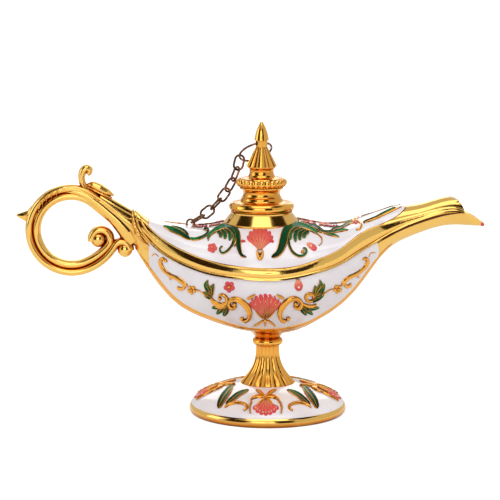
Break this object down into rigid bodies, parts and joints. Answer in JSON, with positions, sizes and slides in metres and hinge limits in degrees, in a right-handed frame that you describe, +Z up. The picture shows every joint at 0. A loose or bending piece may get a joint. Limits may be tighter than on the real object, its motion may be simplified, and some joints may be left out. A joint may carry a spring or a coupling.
{
  "type": "genie oil lamp",
  "caption": "Footed boat-shaped oil lamp with a long open spout, scrolled ring handle, enamelled panels and a lid held by a chain",
  "frame": {"origin": "middle of the foot's underside, on the surface the lamp stands on", "axes": "+X towards the spout, +Y to the lamp's left seen from behind the handle, +Z up"},
  "size_m": [0.2096, 0.071, 0.1314],
  "materials": {
    "gilt_casting": "polished gilt casting",
    "white_enamel": "glossy fired enamel",
    "bronze_wire": "dark antique bronze",
    "screw_steel": "plain zinc-plated steel",
    "felt_pad": "thin felt"
  },
  "bodies": {
    "body": {"foot": "gilt_casting", "foot_enamel": "white_enamel", "base_pad": "felt_pad", "stem": "gilt_casting", "knop": "gilt_casting", "bowl_socket": "gilt_casting", "foot_washer": "screw_steel", "foot_screw": "screw_steel", "bowl": "gilt_casting", "bowl_enamel": "white_enamel", "cover": "gilt_casting", "cover_enamel": "white_enamel", "bowl_ornament": "gilt_casting", "cover_ornament": "gilt_casting", "collar": "gilt_casting", "handle": "gilt_casting", "handle_rivet": "screw_steel", "thumb_leaf": "gilt_casting", "chain_eye": "bronze_wire"},
    "lid": {"lid_base": "gilt_casting", "lid_drum": "gilt_casting", "bead_ring": "gilt_casting", "lid_neck": "gilt_casting", "fluted_cone": "gilt_casting", "finial": "gilt_casting", "lid_screw": "screw_steel"},
    "ring": {"neck_ring": "bronze_wire"},
    "link_1": {"chain_link_1": "bronze_wire"},
    "link_2": {"chain_link_2": "bronze_wire"},
    "link_3": {"chain_link_3": "bronze_wire"},
    "link_4": {"chain_link_4": "bronze_wire"},
    "link_5": {"chain_link_5": "bronze_wire"},
    "link_6": {"chain_link_6": "bronze_wire"},
    "link_7": {"chain_link_7": "bronze_wire"}
  },
  "joints": [
    {"name": "lid_lift", "type": "slide", "parent": "body", "child": "lid", "axis": [0, 0, 1], "range_m": [0, 0.0036]},
    {"name": "ring_swing", "type": "hinge", "parent": "lid", "child": "ring", "pos_m": [-0.0028, 0, 0.12185], "axis": [0.8829, 0.4695, 0], "range_deg": [-18.02, 0]},
    {"name": "link_1_swing", "type": "hinge", "parent": "body", "child": "link_1", "pos_m": [-0.03367, 0.00023, 0.08636], "axis": [0.3023, -0.9279, -0.2182], "range_deg": [0, 17.29]},
    {"name": "link_2_swing", "type": "hinge", "parent": "link_1", "child": "link_2", "pos_m": [-0.02913, 0.00136, 0.089], "axis": [0.2406, -0.9706, 0], "range_deg": [-3.17, 0]},
    {"name": "link_3_swing", "type": "hinge", "parent": "link_2", "child": "link_3", "pos_m": [-0.02497, 0.00239, 0.09224], "axis": [0.2406, -0.9706, 0], "range_deg": [-5.76, 0]},
    {"name": "link_4_swing", "type": "hinge", "parent": "link_3", "child": "link_4", "pos_m": [-0.02127, 0.0033, 0.09602], "axis": [0.2406, -0.9706, 0], "range_deg": [-6.67, 0]},
    {"name": "link_5_swing", "type": "hinge", "parent": "link_4", "child": "link_5", "pos_m": [-0.0181, 0.00409, 0.10029], "axis": [0.2406, -0.9706, 0], "range_deg": [-6.92, 0]},
    {"name": "link_6_swing", "type": "hinge", "parent": "link_5", "child": "link_6", "pos_m": [-0.01551, 0.00473, 0.10495], "axis": [0.2406, -0.9706, 0], "range_deg": [-7.53, 0]},
    {"name": "link_7_swing", "type": "hinge", "parent": "link_6", "child": "link_7", "pos_m": [-0.01356, 0.00522, 0.10993], "axis": [0.2406, -0.9706, 0], "range_deg": [-14.41, 0]}
  ],
  "couplings": [
    {"joint": "ring_swing", "follows": "lid_lift", "rad_per_m": -87.294},
    {"joint": "link_1_swing", "follows": "lid_lift", "rad_per_m": 83.795},
    {"joint": "link_2_swing", "follows": "lid_lift", "rad_per_m": -15.329},
    {"joint": "link_3_swing", "follows": "lid_lift", "rad_per_m": -27.901},
    {"joint": "link_4_swing", "follows": "lid_lift", "rad_per_m": -32.27},
    {"joint": "link_5_swing", "follows": "lid_lift", "rad_per_m": -33.497},
    {"joint": "link_6_swing", "follows": "lid_lift", "rad_per_m": -36.469},
    {"joint": "link_7_swing", "follows": "lid_lift", "rad_per_m": -69.809}
  ]
}
